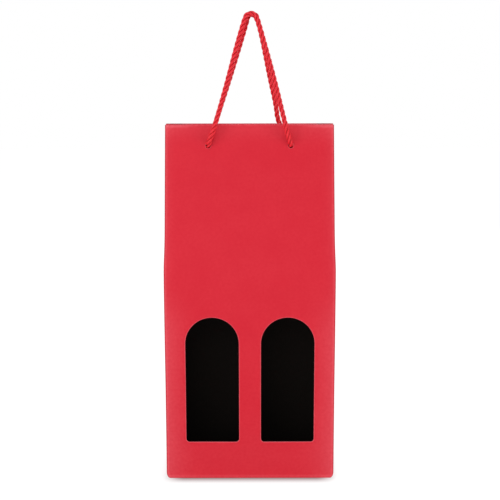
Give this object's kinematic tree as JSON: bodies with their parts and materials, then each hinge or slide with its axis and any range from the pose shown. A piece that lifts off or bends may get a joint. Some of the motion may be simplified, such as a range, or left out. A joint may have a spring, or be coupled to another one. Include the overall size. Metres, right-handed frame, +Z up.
{
  "type": "two-bottle carrier box",
  "caption": "Upright folded board box with two arched windows, an inner divider, a gusseted top that leans shut and twisted cord handles.",
  "frame": {"origin": "centre of the base, on the surface that it stands on", "axes": "+Z up, -Y out of the windowed front, +X to the right seen from the front"},
  "size_m": [0.18, 0.09, 0.4974],
  "materials": {
    "printed_board": "matt red printed micro-flute board",
    "inner_board": "matt black lined board",
    "cord": "twisted three-strand cord with a soft sheen"
  },
  "bodies": {
    "box": {"front_panel": "printed_board", "back_panel": "printed_board", "left_side_panel": "printed_board", "right_side_panel": "printed_board", "glue_flap": "inner_board", "bottom_front_flap": "printed_board", "bottom_back_flap": "printed_board", "bottom_left_flap": "inner_board", "bottom_right_flap": "inner_board", "bottom_left_glue_tab": "inner_board", "bottom_right_glue_tab": "inner_board", "divider_wall": "inner_board", "divider_front_flange": "inner_board", "divider_back_flange": "inner_board"},
    "front_top": {"front_top_panel": "printed_board", "front_hem": "printed_board", "front_left_knot": "cord", "front_right_knot": "cord"},
    "back_top": {"back_top_panel": "printed_board", "back_hem": "printed_board", "back_left_knot": "cord", "back_right_knot": "cord"},
    "right_front_wing": {"right_front_wing": "printed_board"},
    "right_back_wing": {"right_back_wing": "printed_board"},
    "left_front_wing": {"left_front_wing": "printed_board"},
    "left_back_wing": {"left_back_wing": "printed_board"},
    "right_gusset": {"right_gusset": "printed_board"},
    "left_gusset": {"left_gusset": "printed_board"},
    "front_handle": {"front_handle": "cord"},
    "back_handle": {"back_handle": "cord"}
  },
  "joints": [
    {"name": "front_top_fold", "type": "hinge", "parent": "box", "child": "front_top", "pos_m": [0, -0.045, 0.225], "axis": [1, 0, 0], "range_deg": [0, 12.42]},
    {"name": "back_top_fold", "type": "hinge", "parent": "box", "child": "back_top", "pos_m": [0, 0.045, 0.225], "axis": [-1, 0, 0], "range_deg": [0, 12.42]},
    {"name": "right_front_wing_fold", "type": "hinge", "parent": "front_top", "child": "right_front_wing", "pos_m": [0.0885, -0.04354, 0.22465], "axis": [0, -0.2334, -0.9724], "range_deg": [0, 59.7]},
    {"name": "right_back_wing_fold", "type": "hinge", "parent": "back_top", "child": "right_back_wing", "pos_m": [0.0885, 0.04354, 0.22465], "axis": [0, -0.2334, 0.9724], "range_deg": [0, 59.7]},
    {"name": "right_gusset_fold", "type": "hinge", "parent": "box", "child": "right_gusset", "pos_m": [0.09, 0, 0.225], "axis": [0, 1, 0], "range_deg": [0, 10]},
    {"name": "left_front_wing_fold", "type": "hinge", "parent": "front_top", "child": "left_front_wing", "pos_m": [-0.0885, -0.04354, 0.22465], "axis": [0, 0.2334, 0.9724], "range_deg": [0, 59.7]},
    {"name": "left_back_wing_fold", "type": "hinge", "parent": "back_top", "child": "left_back_wing", "pos_m": [-0.0885, 0.04354, 0.22465], "axis": [0, 0.2334, -0.9724], "range_deg": [0, 59.7]},
    {"name": "left_gusset_fold", "type": "hinge", "parent": "box", "child": "left_gusset", "pos_m": [-0.09, 0, 0.225], "axis": [0, -1, 0], "range_deg": [0, 10]},
    {"name": "front_handle_swing", "type": "hinge", "parent": "front_top", "child": "front_handle", "pos_m": [0, -0.01786, 0.35732], "axis": [1, 0, 0], "range_deg": [0, 170]},
    {"name": "back_handle_swing", "type": "hinge", "parent": "back_top", "child": "back_handle", "pos_m": [0, 0.01786, 0.35732], "axis": [-1, 0, 0], "range_deg": [0, 170]}
  ],
  "couplings": [
    {"joint": "back_top_fold", "follows": "front_top_fold", "ratio": 1},
    {"joint": "right_front_wing_fold", "follows": "front_top_fold", "ratio": 4.8043},
    {"joint": "right_back_wing_fold", "follows": "front_top_fold", "ratio": 4.8043},
    {"joint": "right_gusset_fold", "follows": "front_top_fold", "ratio": 0.805},
    {"joint": "left_front_wing_fold", "follows": "front_top_fold", "ratio": 4.8043},
    {"joint": "left_back_wing_fold", "follows": "front_top_fold", "ratio": 4.8043},
    {"joint": "left_gusset_fold", "follows": "front_top_fold", "ratio": 0.805}
  ]
}
